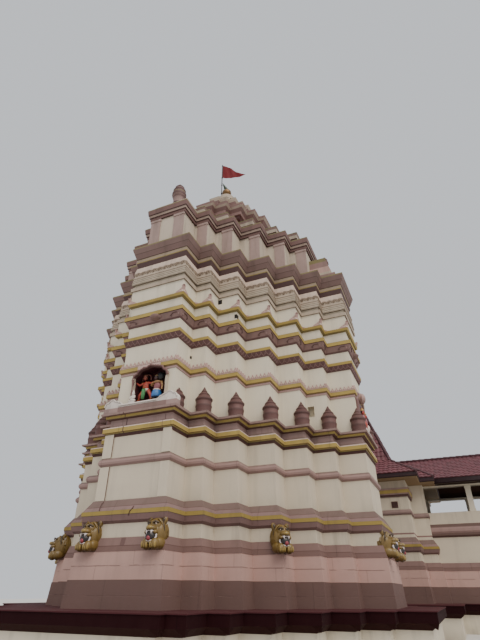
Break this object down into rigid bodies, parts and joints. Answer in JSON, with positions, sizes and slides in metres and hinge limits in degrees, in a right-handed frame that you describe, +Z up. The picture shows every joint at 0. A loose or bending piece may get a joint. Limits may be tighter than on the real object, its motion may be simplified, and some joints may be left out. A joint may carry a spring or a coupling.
{
  "type": "hindu temple",
  "caption": "Stepped temple tower of banded limewashed masonry with gilt lion heads, small spirelets and a flagged finial, on a platform with a tiled hall behind",
  "frame": {"origin": "On the ground under the vertical axis of the tower, at the underside of the platform", "axes": "+Z up; -Y out of the front of the tower; +Y towards the hall; +X to the right seen from the front"},
  "size_m": [26.66, 25.35, 24.4],
  "materials": {
    "platform_wall": "painted masonry",
    "platform_fascia": "maroon painted coping and deck",
    "plinth_lower": "dark brown painted stone courses",
    "plinth_upper": "pink painted stone courses",
    "plinth_chamfer": "mauve-brown painted sloping course",
    "base_mouldings": "painted mouldings with gilt lion heads",
    "tower_wall_lower": "cream limewash",
    "torus_band": "mauve painted roll",
    "tower_wall_middle": "cream limewash",
    "hall_front_wall": "cream limewash with painted bands",
    "hall_back_wall": "cream limewash with painted bands",
    "main_cornice": "painted cornice with gold band and spirelets",
    "wall_niche_storey": "cream limewash",
    "parapet_band": "gold and pink painted band",
    "wall_second_storey": "cream limewash",
    "dentil_band": "painted dentil course",
    "wall_third_storey": "cream limewash",
    "lower_corona": "mauve cornice with gold edge",
    "wall_fourth_storey": "cream limewash",
    "leaf_band": "gold band with leaf finials",
    "wall_fifth_storey": "cream limewash",
    "scroll_moulding": "carved scroll courses",
    "great_cornice": "mauve cornice with gold edges",
    "neck_head": "cream limewash",
    "top_storey_wall": "pinkish pilasters and cream panels",
    "top_cornice": "weathered mauve cornice",
    "side_roof_left": "weathered stepped roof",
    "side_roof_right": "weathered stepped roof",
    "tower_roof": "weathered pink render",
    "upper_tier": "weathered brown cornices",
    "crown": "weathered render",
    "attic": "weathered mauve cornice with two finials",
    "niche_frame": "maroon and white painted cusped frame and sill",
    "niche_figures": "painted figures",
    "kalash": "gilt metal with a green upper part",
    "flag_pole": "dark painted steel tube",
    "flag": "dark red cloth",
    "wing_wall_left": "cream limewash with painted bands",
    "wing_wall_right": "cream limewash with painted bands",
    "wing_frame_left": "cream and gold painted posts and beam",
    "wing_frame_right": "cream and gold painted posts and beam",
    "hall_eave": "maroon clay tiles",
    "hall_roof": "maroon clay tiles",
    "wing_roof_left": "maroon clay tiles",
    "wing_roof_right": "maroon clay tiles"
  },
  "bodies": {
    "root": {"platform_wall": "platform_wall", "platform_fascia": "platform_fascia", "plinth_lower": "plinth_lower", "plinth_upper": "plinth_upper", "plinth_chamfer": "plinth_chamfer", "base_mouldings": "base_mouldings", "tower_wall_lower": "tower_wall_lower", "torus_band": "torus_band", "tower_wall_middle": "tower_wall_middle", "hall_front_wall": "hall_front_wall", "hall_back_wall": "hall_back_wall", "main_cornice": "main_cornice", "wall_niche_storey": "wall_niche_storey", "parapet_band": "parapet_band", "wall_second_storey": "wall_second_storey", "dentil_band": "dentil_band", "wall_third_storey": "wall_third_storey", "lower_corona": "lower_corona", "wall_fourth_storey": "wall_fourth_storey", "leaf_band": "leaf_band", "wall_fifth_storey": "wall_fifth_storey", "scroll_moulding": "scroll_moulding", "great_cornice": "great_cornice", "neck_head": "neck_head", "top_storey_wall": "top_storey_wall", "top_cornice": "top_cornice", "side_roof_left": "side_roof_left", "side_roof_right": "side_roof_right", "tower_roof": "tower_roof", "upper_tier": "upper_tier", "crown": "crown", "attic": "attic", "niche_frame": "niche_frame", "niche_figures": "niche_figures", "kalash": "kalash", "flag_pole": "flag_pole", "flag": "flag", "wing_wall_left": "wing_wall_left", "wing_wall_right": "wing_wall_right", "wing_frame_left": "wing_frame_left", "wing_frame_right": "wing_frame_right", "hall_eave": "hall_eave", "hall_roof": "hall_roof", "wing_roof_left": "wing_roof_left", "wing_roof_right": "wing_roof_right"}
  },
  "joints": []
}
